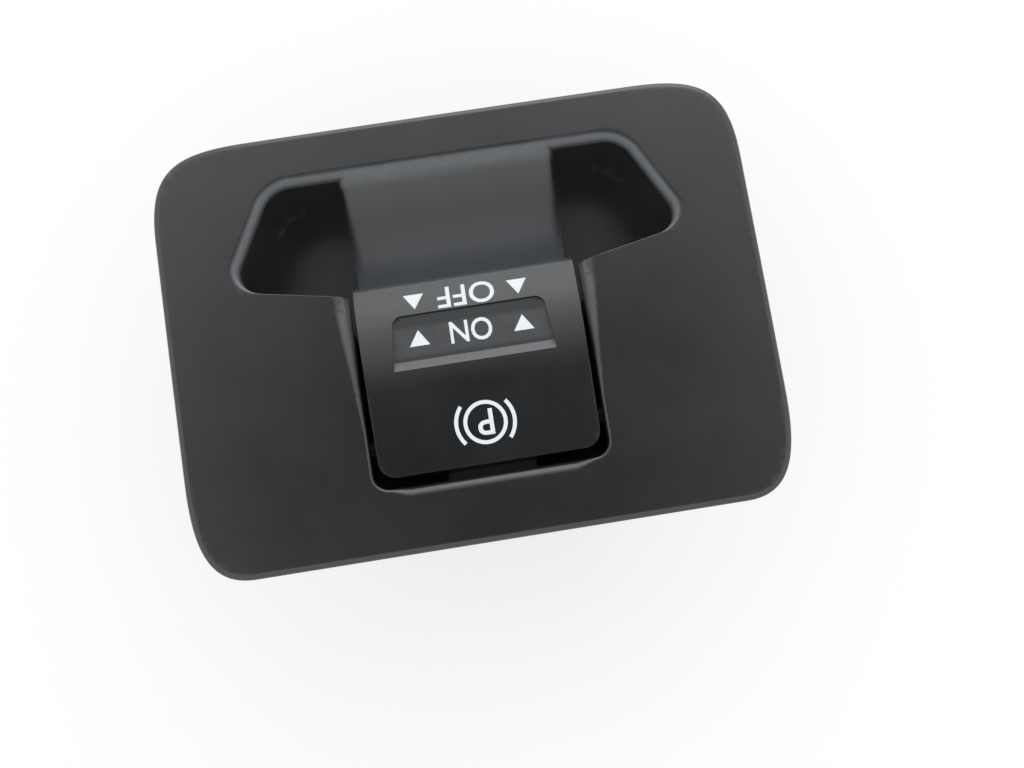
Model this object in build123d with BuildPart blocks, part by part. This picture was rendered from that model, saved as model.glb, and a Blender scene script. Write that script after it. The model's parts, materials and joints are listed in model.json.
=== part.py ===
import os
from math import asin, atan2, cos, pi, radians, sin, sqrt, tan

from build123d import *

# Parking brake switch: a bezel plate with a finger well, a paddle that is pushed
# or pulled, and the switch unit behind it.
# Frame: X across the plate, Y towards the paddle's hinged end, Z out of the face,
# with Z = 0 on the rear cover, which the unit rests on. Millimetres throughout.

# Bezel plate
plate_width = 84.0
plate_height = 61.2
plate_thickness = 2.6
plate_edge_round = 0.9
top_corner = {"run_x": 8.0, "run_y": 14.3, "pull_x": 1.7, "pull_y": 5.2}
bottom_corner = {"run_x": 14.2, "run_y": 12.5, "pull_x": 4.0, "pull_y": 2.0}
body_depth = 31.4

# Paddle slot and finger well
slot_width = 32.7
slot_top_y = 21.4
slot_corner = 2.2
well_top_y = -6.0
well_outer_x = 32.4
well_outer_y = -9.15
well_foot_x = 25.1
well_bottom_y = -23.1
well_corner = 3.2
well_foot_corner = 4.5
well_depth = 14.6
well_reach = 5.0
well_back_x = 27.6
wall = 1.8
rim_round = 1.7
slot_rim_round = 0.5
brow_round = 0.15
brow_stations = 7
brow_lap = 3.0
brow_span = 11.0
brow_proud = 1.0
brow_back_y = -2.5
top_rim_round = 1.5
top_rim_taper = 2.6
cheek_round = 2.5
cheek_start_y = 13.0

# Ramp that leads a finger under the paddle's lip
ramp_width = 31.2
ramp_angle = 34.0
ramp_flank_round = 1.6
ramp_skin = 2.0

# Paddle
paddle_top_gap = 1.45
paddle_side_gap = 1.0
paddle_lip_gap = 0.45
paddle_sink = 0.4
paddle_corner = 2.4
paddle_skin = 1.6
paddle_depth = 9.5
crown_start_y = 8.4
lip_y = -7.9
lip_angle = 24.0
lip_round = 1.6
lip_core_y = -4.4
skirt_y = -0.4
skirt_drop = 12.4
skirt_foot_y = 6.0
label_width = 22.8
label_foot_width = 21.6
label_top_y = 5.5
label_bottom_y = -2.5
label_depth = 1.0
label_ledge = 1.3
label_tilt = 6.0
label_corner = 1.5

# Hinge
pivot_y = 15.5
pivot_drop = 6.0
pin_radius = 1.5
pin_fit = 0.05
pin_press = 0.01
pin_hole_clearance = 0.4
pin_chamfer = 0.3
boss_radius = 2.6
pull_angle = 10.0
push_angle = 4.0

# Carrier, its lever and the milky plate it holds
carrier_fit = 0.12
carrier_front_y = 3.0
carrier_back_gap = 0.15
carrier_deck = 1.8
carrier_waist_y = 12.0
carrier_rail_z = 25.5
cheek_thickness = 2.2
cross_rib_front_y = 14.4
tail_width = 13.0
tail_end_y = 23.0
tail_thickness = 2.0
tail_gap = 0.3
diffuser_width = 18.0
diffuser_front_y = 3.4
diffuser_back_y = 17.6
diffuser_thickness = 1.2
lever_x = 9.0
lever_width = 4.0
lever_root = 5.0
lever_neck = 2.2
lever_tip_radius = 1.6
lever_tip_lift = 1.9
lever_slot_clearance = 0.8
slide_fit = 0.06
lever_side_gap = 0.26

# Return springs and end stops
spring_wire = 0.6
spring_radius = 1.9
spring_gap = 0.02
push_spring_y = 6.0
push_spring_x = 9.0
push_spring_turns = 4
pull_spring_y = 20.8
pull_spring_turns = 3
seat_height = 1.2
seat_clearance = 0.15
spring_pad_width = 5.4
spring_pad_thickness = 2.0
buffer_radius = 1.3
buffer_height = 2.0
buffer_clearance = 0.3
buffer_inset = 1.43
buffer_chamfer = 0.3
push_buffer_y = 9.0
pull_buffer_x = 4.6
pull_buffer_y = 21.2

# Switch housing
housing_width = 45.0
housing_bottom_y = -23.5
housing_top_y = 25.5
housing_wall = 2.0
housing_corner = 3.0
deck_top = 16.2
deck_thickness = 2.0
tower_side_gap = 0.85
tower_gap = 0.3
ear_y = 12.0
ear_reach = 7.0
ear_width = 7.4
ear_thickness = 2.2
bezel_boss_radius = 2.7
bezel_boss_height = 4.2
board_boss_radius = 2.6

# Rear cover
cover_thickness = 2.0
cover_lip_height = 3.0
cover_lip_wall = 1.2
cover_fit = 0.15
cover_boss_inset = 4.6
cover_boss_lap = 1.0
cover_boss_gap = 1.0
cover_chamfer = 0.5
cover_post_radius = 1.6
cover_post_inset = 3.0
cover_post_front_y = -3.0
cover_post_back_y = 7.0

# Circuit board and what is on it
board_bottom = 7.0
board_thickness = 1.6
board_gap = 1.2
board_corner = 1.0
board_front_y = -14.6
board_screw_y = -9.6
track_thickness = 0.08
track_width = 1.2
track_margin = 0.5
track_pitch = 2.0
track_count = 3
wiper_thickness = 0.25
wiper_width = 0.9
wiper_length = 5.0
wiper_gap = 0.05
wiper_inset = 1.0
wiper_root = 1.5
wiper_toe = 0.8
slider_width = 6.4
slider_length = 12.0
slider_height = 3.6
slider_lift = 1.0
slider_chamfer = 0.6
rib_width = 1.4
led_length = 2.8
led_width = 1.8
led_height = 1.1
led_pitch = 3.4
led_count = 2
led_chamfer = 0.2
guide_width = 8.0
guide_front_y = 4.2
guide_back_y = 10.6
guide_fit = 0.15
guide_flange = 0.8
guide_flange_thickness = 1.0
guide_led_gap = 0.3
guide_top_gap = 1.5
guide_chamfer = 0.4

# Controller, row of small parts and capacitor on the board
chip_inset = 9.3
chip_y = 0.0
chip_size = 7.0
chip_height = 1.0
chip_pins = 7
chip_pin_pitch = 0.9
chip_pin_width = 0.4
chip_pin_reach = 0.85
chip_pin_height = 0.35
row_count = 4
row_pitch = 2.6
row_back_inset = 6.5
resistor_inset = 3.3
resistor_length = 2.0
resistor_width = 1.25
resistor_height = 0.6
diode_inset = 8.3
diode_length = 3.2
diode_width = 1.6
diode_height = 0.8
capacitor_inset = 11.8
capacitor_y = -6.0
capacitor_radius = 2.1
capacitor_height = 3.4

# Plug socket
header_width = 18.0
header_height = 10.4
header_bottom = 2.6
header_front_y = -28.4
header_back_y = -15.2
header_wall = 1.4
header_fit = 0.1
header_corner = 1.0
socket_depth = 10.2
key_width = 3.0
key_height = 0.8
key_stop = 3.0
pin_pitch = 2.54
pins_per_row = 4
pin_size = 0.64
pin_fit_in_header = 0.02
pin_hole_radius = 0.55
pin_reach = 5.2
row_gap = 3.6
upper_row_y = -11.0
lower_row_y = -13.2
solder_height = 0.4

# Screws
screw_radius = 1.25
screw_clearance = 0.3
screw_bite = 0.05
screw_head_radius = 2.2
screw_head_height = 1.4
screw_slot = 0.5
screw_length = 6.0
bezel_shank = 7.5
board_shank = 5.4
cover_shank = 4.2
head_sink = 0.1
lower_screw_x = 12.0
lower_screw_y = -17.6

# Panel clips and seal
clip_width = 8.0
clip_steel = 0.6
clip_bulge = 2.2
clip_y = -13.5
clip_pad = 1.6
clip_pad_height = 6.5
clip_pad_margin = 0.5
clip_foot_gap = 0.3
clip_heel = 1.0
clip_lead_in = 1.6
clip_tip_back = 1.3
clip_tip_rise = 0.6
panel_thickness = 2.5
seal_width = 2.0
seal_thickness = 1.2
seal_inset = 1.2

# How far a cutter runs past what it cuts
over = 1.0

# Levels and places that follow
seat_z = body_depth
face_z = seat_z + plate_thickness
slot_half = slot_width / 2
paddle_z = face_z - paddle_sink
pivot_z = face_z - pivot_drop
paddle_top_y = slot_top_y - paddle_top_gap
top_half = slot_half - paddle_side_gap
lip_half = slot_half - paddle_lip_gap
well_floor_z = face_z - well_depth
well_back_y = well_top_y + well_reach
tub_z = well_floor_z - wall
deck_bottom = deck_top - deck_thickness
board_top = board_bottom + board_thickness
ramp_half = ramp_width / 2
tower_front_y = well_back_y + wall + tower_gap
tower_inner_width = slot_width + 2 * tower_side_gap
tower_outer_width = tower_inner_width + 2 * housing_wall
inner_half = housing_width / 2 - housing_wall
board_half = inner_half - board_gap
board_back_y = housing_top_y - housing_wall - board_gap
ear_x = tower_outer_width / 2 + ear_reach / 2
ear_top = seat_z - bezel_boss_height
nose_y = lip_y + lip_round
crown_radius = (crown_start_y - nose_y + lip_round * sin(radians(lip_angle))) / sin(radians(lip_angle))
crown_drop = crown_radius * (1 - cos(radians(lip_angle)))
nose_z = paddle_z - crown_drop - lip_round * cos(radians(lip_angle))
under_lip_z = nose_z - lip_round
skirt_z = paddle_z - skirt_drop
paddle_low_z = paddle_z - paddle_depth
skirt_radius = pivot_y - skirt_y
carrier_half = top_half - paddle_skin - carrier_fit
push_buffer_x = carrier_half - buffer_inset
tail_top = paddle_low_z - tail_gap
tail_bottom = tail_top - tail_thickness
slider_bottom = board_top + slider_lift
lever_z = slider_bottom + lever_tip_lift
lever_length = pivot_z - lever_z
slot_round = lever_tip_radius + slide_fit
pivot = (0, pivot_y, pivot_z)
base = (Align.CENTER, Align.CENTER, Align.MIN)
hang = (Align.CENTER, Align.CENTER, Align.MAX)
clip_seat_x = well_outer_x + wall + clip_pad
clip_foot = clip_pad - clip_foot_gap
clip_pad_z = seat_z - panel_thickness - clip_pad_height
push_stop_arm = pivot_y - push_buffer_y + buffer_radius
pull_stop_arm = pull_buffer_y + buffer_radius - pivot_y
push_stop_z = carrier_rail_z - push_stop_arm * sin(radians(push_angle)) - buffer_clearance
pull_stop_z = tail_bottom - pull_stop_arm * sin(radians(pull_angle)) - buffer_clearance
stop_posts = (
    (push_buffer_x, push_buffer_y, push_stop_z - buffer_height),
    (pull_buffer_x, pull_buffer_y, pull_stop_z - buffer_height),
)
spring_spots = ((push_spring_x, push_spring_y), (-push_spring_x, push_spring_y), (0, pull_spring_y))
cover_spot_inset = cover_boss_inset - cover_boss_lap
cover_x = inner_half - cover_spot_inset
cover_front_y = housing_bottom_y + housing_wall + cover_spot_inset
cover_back_y = housing_top_y - housing_wall - cover_spot_inset
cover_spots = [(x, y) for x in (-cover_x, cover_x) for y in (cover_front_y, cover_back_y)]
pin_xs = [(i - (pins_per_row - 1) / 2) * pin_pitch for i in range(pins_per_row)]
screw_spots = (
    (ear_x, ear_y, ear_top),
    (-ear_x, ear_y, ear_top),
    (lower_screw_x, lower_screw_y, deck_top),
    (-lower_screw_x, lower_screw_y, deck_top),
)
os.makedirs("parts", exist_ok=True)


def write(piece, name):
    # Names a finished piece and saves it
    piece.label = name
    export_step(piece, f"parts/{name}.step")


def corner(shape, side, inset):
    # Control points of a soft plate corner, from the side edge round to the top or bottom edge
    half_x = plate_width / 2 - inset
    half_y = plate_height / 2 - inset
    return (
        (half_x, side * (half_y - shape["run_y"])),
        (half_x, side * (half_y - shape["pull_y"])),
        (half_x - shape["pull_x"], side * half_y),
        (half_x - shape["run_x"], side * half_y),
    )


def well_side_x(y):
    # The well's slanting side, carried on to any height
    slope = (well_outer_x - well_foot_x) / (well_outer_y - well_bottom_y)
    return well_foot_x + slope * (y - well_bottom_y)


def well_sketch(top_y, inner_x, shoulder, rounded):
    # The finger well in plan: upper edge at top_y out to inner_x, then down over the shoulder to its foot
    with BuildSketch() as plan:
        with BuildLine():
            Polyline(
                (0, top_y),
                (inner_x, top_y),
                shoulder,
                (well_foot_x, well_bottom_y),
                (0, well_bottom_y),
            )
            mirror(about=Plane.YZ)
        make_face()
        fillet(plan.vertices().group_by(Axis.Y)[0], well_foot_corner)
        if rounded:
            fillet(plan.vertices().filter_by(lambda v: abs(v.X) == abs(shoulder[0])), well_corner)
    return plan.sketch


def edge_round(radius, start):
    # What a round of this radius takes off an edge that stands at start, the solid lying beyond it
    with BuildSketch() as section:
        with BuildLine():
            out = start - over
            side = Polyline((start, face_z - radius), (out, face_z - radius), (out, face_z + over))
            lid = Polyline(side @ 1, (start + radius, face_z + over), (start + radius, face_z))
            RadiusArc(lid @ 1, side @ 0, -radius)
        make_face()
    return section.sketch


def across(y):
    # Plane square to Y, with X to the right and Z up
    return Plane.XZ.offset(-y)


def plate_sketch(inset):
    # Outline of the plate, or a line this far inside it, from its right half
    with BuildSketch() as outline:
        with BuildLine():
            upper = Bezier(*corner(top_corner, 1, inset))
            lower = Bezier(*corner(bottom_corner, -1, inset))
            Line(upper @ 0, lower @ 0)
            Line(upper @ 1, (0, plate_height / 2 - inset))
            Line(lower @ 1, (0, inset - plate_height / 2))
            mirror(about=Plane.YZ)
        make_face()
    return outline.sketch


# The well up to its shoulders as it opens in the face, and the wider well behind the plate
well_cut = well_sketch(well_outer_y, slot_half, (well_outer_x, well_outer_y), False)
well_behind = well_sketch(well_back_y, well_back_x, (well_outer_x, well_outer_y), True)

with BuildSketch() as slot_outline:
    slot_length = slot_top_y - well_back_y
    with Locations((0, well_back_y)):
        Rectangle(slot_width, slot_length, align=(Align.CENTER, Align.MIN))
    fillet(slot_outline.vertices().group_by(Axis.Y)[-1], slot_corner)
    with Locations((0, well_back_y)):
        Rectangle(slot_width, well_back_y - well_outer_y, align=(Align.CENTER, Align.MAX))

# The shoulder's arc, from where it leaves the well's slanting side to where it meets the brow
side_turn = atan2(well_outer_y - well_bottom_y, well_outer_x - well_foot_x)
brow_turn = atan2(well_top_y - well_outer_y, slot_half - well_outer_x)
shoulder_run = well_corner / tan((side_turn + pi - brow_turn) / 2)
side_end_x = well_outer_x - shoulder_run * cos(side_turn)
side_end_y = well_outer_y - shoulder_run * sin(side_turn)
shoulder_x = side_end_x - well_corner * sin(side_turn)
shoulder_y = side_end_y + well_corner * cos(side_turn)
field_edge = [
    (side_end_x, side_end_y),
    (side_end_x + brow_lap * sin(side_turn), side_end_y - brow_lap * cos(side_turn)),
    (well_outer_x + brow_lap, well_outer_y + brow_lap / 2),
    (well_outer_x + brow_lap, brow_back_y),
]
brow_field = field_edge + [(-x, y) for x, y in reversed(field_edge)]


def rim_plane(x, y, turn):
    # Plane square to the mouth's edge, its own X pointing out into the plate
    return Plane(origin=(x, y, 0), x_dir=(cos(turn), sin(turn), 0), z_dir=(sin(turn), -cos(turn), 0))


def rim_slice(radius):
    # The plate cut across at the mouth's edge, with that round on it, and standing proud of both faces
    bend = radius * (1 - cos(pi / 4))
    high = face_z + brow_proud
    low = seat_z - brow_proud
    with BuildSketch() as section:
        with BuildLine():
            Polyline((0, face_z - radius), (0, low), (brow_span, low), (brow_span, high))
            Polyline((brow_span, high), (radius, high), (radius, face_z))
            ThreePointArc((radius, face_z), (bend, face_z - bend), (0, face_z - radius))
        make_face()
    return section.sketch


# The brow closes in over the well behind its shoulders, and the rim's round fades to a crisp edge there
with BuildPart() as brow:
    start_turn = side_turn - pi / 2
    end_turn = brow_turn - pi / 2
    for i in range(brow_stations):
        share = i / (brow_stations - 1)
        turn = start_turn + share * (end_turn - start_turn)
        fade = share * share * (3 - 2 * share)
        edge_x = shoulder_x + well_corner * cos(turn)
        edge_y = shoulder_y + well_corner * sin(turn)
        with BuildSketch(rim_plane(edge_x, edge_y, turn)):
            add(rim_slice(rim_round + fade * (brow_round - rim_round)))
    loft()
    with BuildSketch(rim_plane(edge_x, edge_y, end_turn)):
        add(rim_slice(brow_round))
    extrude(amount=-(edge_x - slot_half) / sin(end_turn) - brow_lap)
    mirror(about=Plane.YZ)
    with BuildSketch(Plane.XY.offset(seat_z)):
        Polygon(*brow_field, align=None)
        add(slot_outline.sketch, mode=Mode.SUBTRACT)
    extrude(amount=plate_thickness, mode=Mode.INTERSECT)

# Rounds that grow along their edge: the slot's cheeks and its top rim
with BuildPart() as cheeks:
    for y, radius in ((cheek_start_y, slot_rim_round), (well_top_y - 0.3, cheek_round)):
        with BuildSketch(across(y)):
            add(edge_round(radius, slot_half))
    loft()
    mirror(about=Plane.YZ)

with BuildPart() as top_rim:
    rim_half = slot_half - slot_corner
    flat_half = rim_half - top_rim_taper
    for x, radius in (
        (-rim_half, slot_rim_round),
        (-flat_half, top_rim_round),
        (flat_half, top_rim_round),
        (rim_half, slot_rim_round),
    ):
        with BuildSketch(Plane.YZ.offset(x)):
            add(edge_round(radius, slot_top_y))
    loft(ruled=True)

# Ramp: its top runs on from the well's rounded foot at the ramp's own angle
lean = radians(ramp_angle)
ramp_start_y = well_bottom_y - rim_round + rim_round * sin(lean)
ramp_start_z = face_z - rim_round + rim_round * cos(lean)


def ramp_z(y):
    # Height of the ramp's top surface
    return ramp_start_z - (y - ramp_start_y) * tan(lean)


ramp_end_y = ramp_start_y + (ramp_start_z - well_floor_z) / tan(lean)
skin_drop = ramp_skin / cos(lean)
hollow_end_y = ramp_start_y + (ramp_start_z - skin_drop - tub_z) / tan(lean)
with BuildPart() as ramp:
    with BuildSketch(Plane.YZ):
        Polygon(
            (ramp_start_y, ramp_start_z),
            (ramp_end_y, well_floor_z),
            (ramp_end_y, tub_z),
            (ramp_start_y, tub_z),
            align=None,
        )
    extrude(amount=ramp_half, both=True)
    sloping = ramp.edges().filter_by(lambda e: min(abs(e.tangent_at(0.5).Y), abs(e.tangent_at(0.5).Z)) > 0.1)
    fillet(sloping, ramp_flank_round)

# Bezel: plate, tub behind it, well and slot, ramp, screw bosses and clip pads
with BuildPart() as bezel:
    with BuildSketch(Plane.XY.offset(seat_z)):
        add(plate_sketch(0))
    extrude(amount=plate_thickness)
    fillet(bezel.edges().group_by(Axis.Z)[-1], plate_edge_round)
    with BuildSketch(Plane.XY.offset(tub_z)):
        offset(well_behind, wall)
    extrude(amount=seat_z - tub_z)
    with BuildSketch(Plane.XY.offset(well_floor_z)):
        add(well_behind)
    extrude(amount=seat_z - well_floor_z, mode=Mode.SUBTRACT)
    with BuildSketch(Plane.XY.offset(seat_z)):
        add(well_cut)
    extrude(amount=plate_thickness, mode=Mode.SUBTRACT)
    with BuildSketch(Plane.XY.offset(well_floor_z)):
        add(slot_outline.sketch)
    extrude(amount=well_depth, mode=Mode.SUBTRACT)
    mouth = bezel.faces().sort_by(Axis.Z)[-1].inner_wires()[0].edges()
    fillet(mouth.filter_by(lambda e: e.center().Y < well_outer_y), rim_round)
    mouth = bezel.faces().sort_by(Axis.Z)[-1].inner_wires()[0].edges()
    fillet(mouth.filter_by(lambda e: e.center().Y > brow_back_y), slot_rim_round)
    with BuildSketch(Plane.XY.offset(seat_z)):
        Polygon(*brow_field, align=None)
    extrude(amount=plate_thickness, mode=Mode.SUBTRACT)
    add(brow.part)
    add(cheeks.part, mode=Mode.SUBTRACT)
    add(top_rim.part, mode=Mode.SUBTRACT)
    add(ramp.part)
    # The ramp is a skin: its back is open, apart from the two screw bosses
    with BuildSketch(Plane.YZ):
        Polygon(
            (well_bottom_y, tub_z),
            (well_bottom_y, ramp_z(well_bottom_y) - skin_drop),
            (hollow_end_y, tub_z),
            align=None,
        )
    extrude(amount=ramp_half - ramp_skin, both=True, mode=Mode.SUBTRACT)
    with BuildSketch(Plane.XY.offset(deck_top)):
        with Locations((lower_screw_x, lower_screw_y), (-lower_screw_x, lower_screw_y)):
            Circle(bezel_boss_radius)
    extrude(amount=ramp_z(lower_screw_y) - skin_drop - deck_top)
    with BuildSketch(Plane.XY.offset(ear_top)):
        with Locations((ear_x, ear_y), (-ear_x, ear_y)):
            Circle(bezel_boss_radius)
    extrude(amount=bezel_boss_height)
    for x, y, z in screw_spots:
        with Locations((x, y, z)):
            Cylinder(screw_radius + screw_bite, screw_length, align=base, mode=Mode.SUBTRACT)
    low_y = clip_y - clip_width / 2 - clip_pad_margin
    high_y = clip_y + clip_width / 2 + clip_pad_margin
    with BuildSketch(Plane.XY.offset(clip_pad_z)):
        Polygon(
            (clip_seat_x, low_y),
            (clip_seat_x, high_y),
            (well_side_x(high_y) + wall / 2, high_y),
            (well_side_x(low_y) + wall / 2, low_y),
            align=None,
        )
        mirror(about=Plane.YZ)
    extrude(amount=clip_pad_height)
write(bezel.part, "bezel")


def crown_point(turn, skin):
    # A point of the rolled face, at this turn from flat
    bend = crown_radius - skin
    return (crown_start_y - bend * sin(turn), paddle_z - skin - bend * (1 - cos(turn)))


def skirt_point(z, skin):
    # A point of the skirt, which is round about the pivot
    return (pivot_y - sqrt((skirt_radius - skin) ** 2 - (pivot_z - z) ** 2), z)


def side_profile(skin):
    # The paddle from the side, or with a skin its hollow: face, crown, lip, skirt and open underside
    top = (paddle_top_y - skin, paddle_z - skin)
    turn = radians(lip_angle) if skin == 0 else asin((crown_start_y - lip_core_y) / (crown_radius - skin))
    tip = crown_point(turn, skin)
    floor_z = under_lip_z + skin
    foot_z = skirt_z - skin
    low_z = paddle_low_z - skin
    with BuildSketch() as profile:
        with BuildLine():
            Line(top, crown_point(0, skin))
            ThreePointArc(crown_point(0, skin), crown_point(turn / 2, skin), tip)
            if skin == 0:
                ThreePointArc(tip, (lip_y, nose_z), (nose_y, floor_z))
                Line((nose_y, floor_z), skirt_point(floor_z, skin))
            else:
                Polyline(tip, (tip[0], floor_z), skirt_point(floor_z, skin))
            middle_z = (floor_z + foot_z) / 2
            ThreePointArc(skirt_point(floor_z, skin), skirt_point(middle_z, skin), skirt_point(foot_z, skin))
            Polyline(skirt_point(foot_z, skin), (skirt_foot_y, low_z), (top[0], low_z), top)
        make_face()
    return profile.sketch


def plan_taper(inset, rounded):
    # The paddle from the front: narrow at its hinged end, wide at its lip
    with BuildSketch() as plan:
        Polygon(
            (top_half - inset, paddle_top_y - inset),
            (inset - top_half, paddle_top_y - inset),
            (inset - lip_half, lip_y),
            (lip_half - inset, lip_y),
            align=None,
        )
        if rounded:
            fillet(plan.vertices().group_by(Axis.Y)[-1], paddle_corner - inset)
    return plan.sketch


# Cutter for the sunk label panel, with a sloping ledge at its upper end
label_floor_z = paddle_z - (crown_start_y - label_top_y) ** 2 / (2 * crown_radius) - label_depth
label_fall = (label_top_y - label_bottom_y) * tan(radians(label_tilt))
with BuildPart() as label_cut:
    with BuildSketch(Plane.YZ):
        Polygon(
            (label_top_y, label_floor_z + label_depth),
            (label_top_y, face_z),
            (label_bottom_y, face_z),
            (label_bottom_y, label_floor_z - label_fall),
            (label_top_y - label_ledge, label_floor_z),
            align=None,
        )
    extrude(amount=label_width / 2, both=True)
    with BuildSketch(Plane.XY.offset(pivot_z)):
        Polygon(
            (label_width / 2, label_top_y),
            (-label_width / 2, label_top_y),
            (-label_foot_width / 2, label_bottom_y),
            (label_foot_width / 2, label_bottom_y),
            align=None,
        )
        fillet(vertices().group_by(Axis.Y)[0], label_corner)
    extrude(amount=face_z - pivot_z, mode=Mode.INTERSECT)

# Paddle: the moulded key, hollow from behind
with BuildPart() as paddle_hollow:
    with BuildSketch(Plane.YZ):
        add(side_profile(paddle_skin))
    extrude(amount=lip_half, both=True)
    with BuildSketch():
        add(plan_taper(paddle_skin, True))
    extrude(amount=face_z, mode=Mode.INTERSECT)

with BuildPart() as paddle:
    with BuildSketch(Plane.YZ):
        add(side_profile(0))
    extrude(amount=lip_half, both=True)
    with BuildSketch():
        add(plan_taper(0, True))
    extrude(amount=face_z, mode=Mode.INTERSECT)
    add(label_cut.part, mode=Mode.SUBTRACT)
    add(paddle_hollow.part, mode=Mode.SUBTRACT)
    with Locations(pivot):
        Cylinder(pin_radius + pin_hole_clearance, slot_width, rotation=(0, 90, 0), mode=Mode.SUBTRACT)
write(paddle.part, "paddle")


def crown_plate(front_y, back_y, above, below):
    # Side view of a plate that lies along the inside of the paddle's face, between two depths under it
    turn = asin((crown_start_y - front_y) / (crown_radius - above))
    with BuildSketch() as profile:
        with BuildLine():
            Line((back_y, paddle_z - above), crown_point(0, above))
            ThreePointArc(crown_point(0, above), crown_point(turn / 2, above), crown_point(turn, above))
            Line(crown_point(turn, above), crown_point(turn, below))
            ThreePointArc(crown_point(turn, below), crown_point(turn / 2, below), crown_point(0, below))
            Polyline(crown_point(0, below), (back_y, paddle_z - below), (back_y, paddle_z - above))
        make_face()
    return profile.sketch


# Carrier: the rocker that the paddle clips to, with cheeks, tail, spring pads and the drive lever
deck_below = paddle_skin + carrier_deck
carrier_back_y = paddle_top_y - paddle_skin - carrier_back_gap
with BuildPart() as paddle_carrier:
    with BuildSketch(Plane.YZ):
        add(crown_plate(carrier_front_y, carrier_back_y, paddle_skin, deck_below))
    extrude(amount=carrier_half, both=True)
    with BuildSketch(Plane.YZ):
        Polygon(
            (carrier_front_y, paddle_z - deck_below),
            (carrier_front_y, carrier_rail_z),
            (carrier_waist_y, carrier_rail_z),
            (cross_rib_front_y, tail_bottom),
            (carrier_back_y, tail_bottom),
            (carrier_back_y, paddle_z - deck_below),
            align=None,
        )
    extrude(amount=carrier_half, both=True)
    with BuildSketch(Plane.YZ):
        Polygon(
            (carrier_front_y - over, paddle_z - deck_below),
            (carrier_front_y - over, tail_bottom - over),
            (carrier_back_y - cheek_thickness, tail_bottom - over),
            (carrier_back_y - cheek_thickness, paddle_z - deck_below),
            align=None,
        )
    extrude(amount=carrier_half - cheek_thickness, both=True, mode=Mode.SUBTRACT)
    with Locations((0, diffuser_front_y - carrier_fit, paddle_z)):
        Box(
            diffuser_width,
            diffuser_back_y - diffuser_front_y + carrier_fit,
            2 * deck_below + over,
            align=(Align.CENTER, Align.MIN, Align.CENTER),
            mode=Mode.SUBTRACT,
        )
    with Locations((0, carrier_back_y - cheek_thickness, tail_bottom)):
        Box(
            tail_width,
            tail_end_y - carrier_back_y + cheek_thickness,
            tail_thickness,
            align=(Align.CENTER, Align.MIN, Align.MIN),
        )
    for side in (-1, 1):
        pad_x = side * (push_spring_x - spring_pad_width / 2)
        with Locations((pad_x, push_spring_y, carrier_rail_z)):
            Box(
                carrier_half - abs(pad_x),
                spring_pad_width,
                spring_pad_thickness,
                align=(Align.MIN if side > 0 else Align.MAX, Align.CENTER, Align.MIN),
            )
    with BuildSketch(Plane.YZ.offset(lever_x - lever_width / 2)):
        Polygon(
            (pivot_y - lever_root / 2, pivot_z),
            (pivot_y - lever_neck / 2, deck_bottom),
            (pivot_y - lever_neck / 2, lever_z),
            (pivot_y + lever_neck / 2, lever_z),
            (pivot_y + lever_neck / 2, deck_bottom),
            (pivot_y + lever_root / 2, pivot_z),
            align=None,
        )
        with Locations((pivot_y, lever_z)):
            Circle(lever_tip_radius)
    extrude(amount=lever_width)
    with BuildSketch(Plane.YZ.offset(lever_x - lever_width / 2)):
        with Locations((pivot_y, pivot_z)):
            Circle(boss_radius)
    extrude(amount=carrier_half - lever_x + lever_width / 2)
    with BuildSketch(Plane.YZ.offset(-carrier_half)):
        with Locations((pivot_y, pivot_z)):
            Circle(boss_radius)
    extrude(amount=cheek_thickness + lever_width)
    with Locations(pivot):
        Cylinder(pin_radius + pin_fit, tower_outer_width, rotation=(0, 90, 0), mode=Mode.SUBTRACT)
    # Its back corners are rounded to go into the paddle's
    with BuildSketch():
        with Locations((0, carrier_back_y)):
            Rectangle(2 * carrier_half, carrier_back_y, align=(Align.CENTER, Align.MAX))
        fillet(vertices().group_by(Axis.Y)[-1], paddle_corner - paddle_skin)
        with Locations((0, carrier_back_y - over)):
            Rectangle(tail_width, tail_end_y - carrier_back_y + over, align=(Align.CENTER, Align.MIN))
    extrude(amount=face_z, mode=Mode.INTERSECT)
write(paddle_carrier.part, "paddle_carrier")

# Milky plate under the paddle's face
with BuildPart() as legend_diffuser:
    with BuildSketch(Plane.YZ):
        add(crown_plate(diffuser_front_y, diffuser_back_y, paddle_skin, paddle_skin + diffuser_thickness))
    extrude(amount=diffuser_width / 2, both=True)
write(legend_diffuser.part, "legend_diffuser")

with BuildPart() as pivot_pin:
    with BuildSketch(Plane.YZ.offset(-tower_outer_width / 2)):
        with Locations((pivot_y, pivot_z)):
            Circle(pin_radius)
    extrude(amount=tower_outer_width)
    chamfer(pivot_pin.edges().filter_by(GeomType.CIRCLE), pin_chamfer)
write(pivot_pin.part, "pivot_pin")

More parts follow.
